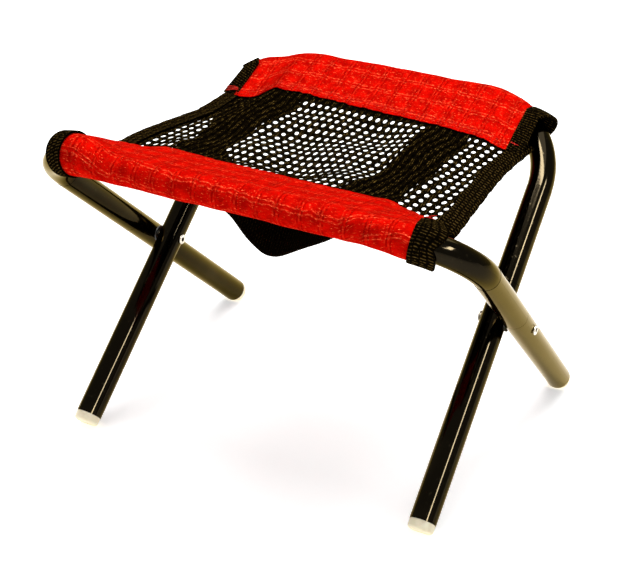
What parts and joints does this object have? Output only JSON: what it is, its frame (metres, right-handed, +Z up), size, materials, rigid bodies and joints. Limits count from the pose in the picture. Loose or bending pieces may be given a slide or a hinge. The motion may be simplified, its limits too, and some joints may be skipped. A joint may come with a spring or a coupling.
{
  "type": "folding camp stool",
  "caption": "Low folding camp stool: nested bent-tube frames crossed on a pivot, with a sling seat of net between sewn cloth sleeves and a webbing carry loop.",
  "frame": {"origin": "on the floor, under the middle of the pivot axis", "axes": "+X to the sitter's left along the pivot axis and the seat bars, +Y to the back, +Z up; open for use"},
  "size_m": [0.3416, 0.2701, 0.2328],
  "materials": {
    "black_tube": "gloss black paint on steel tube",
    "rivet_metal": "plated tubular rivet",
    "foot_plastic": "moulded cream plastic",
    "spacer_plastic": "black nylon",
    "red_cloth": "red ripstop nylon",
    "black_net": "black knitted net",
    "black_webbing": "black woven webbing"
  },
  "bodies": {
    "outer_frame": {"outer_top_tube": "black_tube", "outer_leg_left": "black_tube", "outer_leg_right": "black_tube", "outer_foot_left": "foot_plastic", "outer_foot_right": "foot_plastic", "pivot_rivet_left": "rivet_metal", "pivot_rivet_right": "rivet_metal", "pivot_spacer_left": "spacer_plastic", "pivot_spacer_right": "spacer_plastic", "front_sleeve": "red_cloth", "front_loop_left": "black_webbing", "front_loop_right": "black_webbing"},
    "inner_frame": {"inner_top_tube": "black_tube", "inner_leg_left": "black_tube", "inner_leg_right": "black_tube", "inner_foot_left": "foot_plastic", "inner_foot_right": "foot_plastic", "rear_sleeve": "red_cloth", "rear_loop_left": "black_webbing", "rear_loop_right": "black_webbing"},
    "seat_front": {"front_flap": "red_cloth", "front_net": "black_net", "front_strap_left": "black_webbing", "front_strap_right": "black_webbing", "front_tape_left": "black_webbing", "front_tape_right": "black_webbing", "carry_strap": "black_webbing"},
    "seat_rear": {"rear_flap": "red_cloth", "rear_net": "black_net", "rear_strap_left": "black_webbing", "rear_strap_right": "black_webbing", "rear_tape_left": "black_webbing", "rear_tape_right": "black_webbing"}
  },
  "joints": [
    {"name": "fold", "type": "hinge", "parent": "outer_frame", "child": "inner_frame", "pos_m": [0, 0, 0.1089], "axis": [1, 0, 0], "range_deg": [0, 87], "deforming": ["front_flap", "front_net", "front_strap_left", "front_strap_right", "front_tape_left", "front_tape_right", "rear_flap", "rear_net", "rear_strap_left", "rear_strap_right", "rear_tape_left", "rear_tape_right"]},
    {"name": "front_seat_drop", "type": "hinge", "parent": "outer_frame", "child": "seat_front", "pos_m": [0, -0.12412, 0.21987], "axis": [1, 0, 0], "range_deg": [-36, 0]},
    {"name": "rear_seat_drop", "type": "hinge", "parent": "inner_frame", "child": "seat_rear", "pos_m": [0, 0.12412, 0.21987], "axis": [1, 0, 0], "range_deg": [0, 36]}
  ],
  "couplings": [
    {"joint": "front_seat_drop", "follows": "fold", "ratio": -0.4058},
    {"joint": "rear_seat_drop", "follows": "fold", "ratio": 0.4058}
  ]
}
